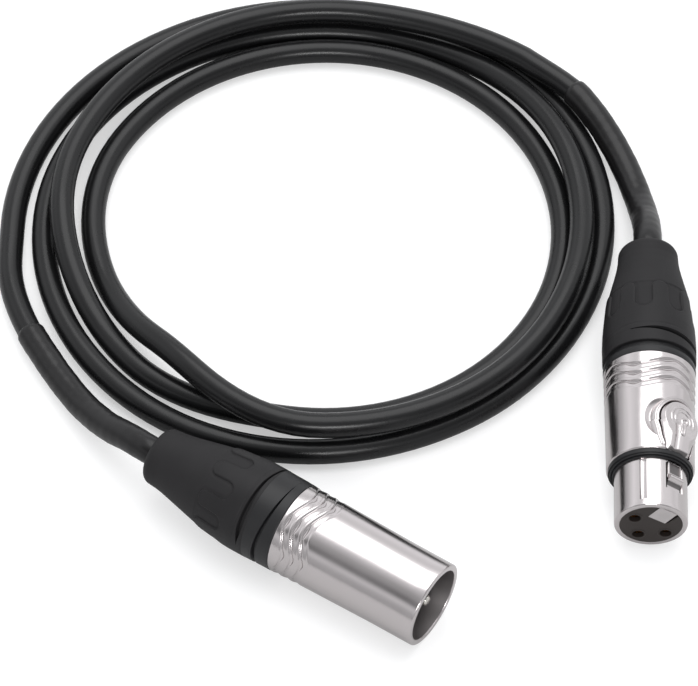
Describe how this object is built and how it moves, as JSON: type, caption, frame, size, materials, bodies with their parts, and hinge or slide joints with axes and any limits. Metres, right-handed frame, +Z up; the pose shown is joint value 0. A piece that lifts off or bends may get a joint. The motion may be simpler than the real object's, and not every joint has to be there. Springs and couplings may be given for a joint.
{
  "type": "xlr microphone cable coil",
  "caption": "Balanced microphone cable wound flat in a loose coil, with a male and a latching female contact plug lying in front of it.",
  "frame": {"origin": "on the surface that it lies on, below the middle of the two plugs' box", "axes": "+Z up from the surface; the coil lies on the -X, +Y side and the female plug points along -Y"},
  "size_m": [0.1532, 0.1812, 0.0204],
  "materials": {
    "jacket": "soft PVC, satin",
    "sleeve": "heat-shrink, satin",
    "nickel": "satin nickel plate",
    "insulator": "moulded, satin",
    "pin_metal": "silver plate",
    "spring_brass": "plain",
    "ring_black": "moulded, satin",
    "bushing": "moulded, satin",
    "soft_boot": "moulded, matt",
    "chuck_metal": "moulded, plain",
    "conductor": "plain",
    "copper": "bare",
    "contact_gold": "gold plate",
    "latch_metal": "satin nickel plate",
    "steel": "plain"
  },
  "bodies": {
    "cable": {"cable_coil": "jacket", "male_lead": "jacket", "female_lead": "jacket", "male_heat_shrink": "sleeve", "female_heat_shrink": "sleeve", "male_shell": "nickel", "male_insert": "insulator", "male_pins": "pin_metal", "male_ground_tab": "spring_brass", "male_ring": "ring_black", "male_boot": "bushing", "male_boot_sleeve": "soft_boot", "male_chuck": "chuck_metal", "male_conductors": "conductor", "male_drain_wire": "copper", "female_shell": "nickel", "female_barrel": "nickel", "female_collar_ring": "ring_black", "female_insert": "insulator", "female_contacts": "contact_gold", "female_ground_tab": "spring_brass", "latch_pin": "steel", "latch_spring": "steel", "female_ring": "ring_black", "female_boot": "bushing", "female_boot_sleeve": "soft_boot", "female_chuck": "chuck_metal", "female_conductors": "conductor", "female_drain_wire": "copper"},
    "latch_lever": {"latch": "latch_metal"}
  },
  "joints": [
    {"name": "latch_press", "type": "hinge", "parent": "cable", "child": "latch_lever", "pos_m": [0.0535, 0.00445, 0.01559], "axis": [0.7881, -0.0106, -0.6154], "range_deg": [0, 3.5], "stiffness_Nm_per_rad": 0.05, "springref_deg": -5.73}
  ]
}
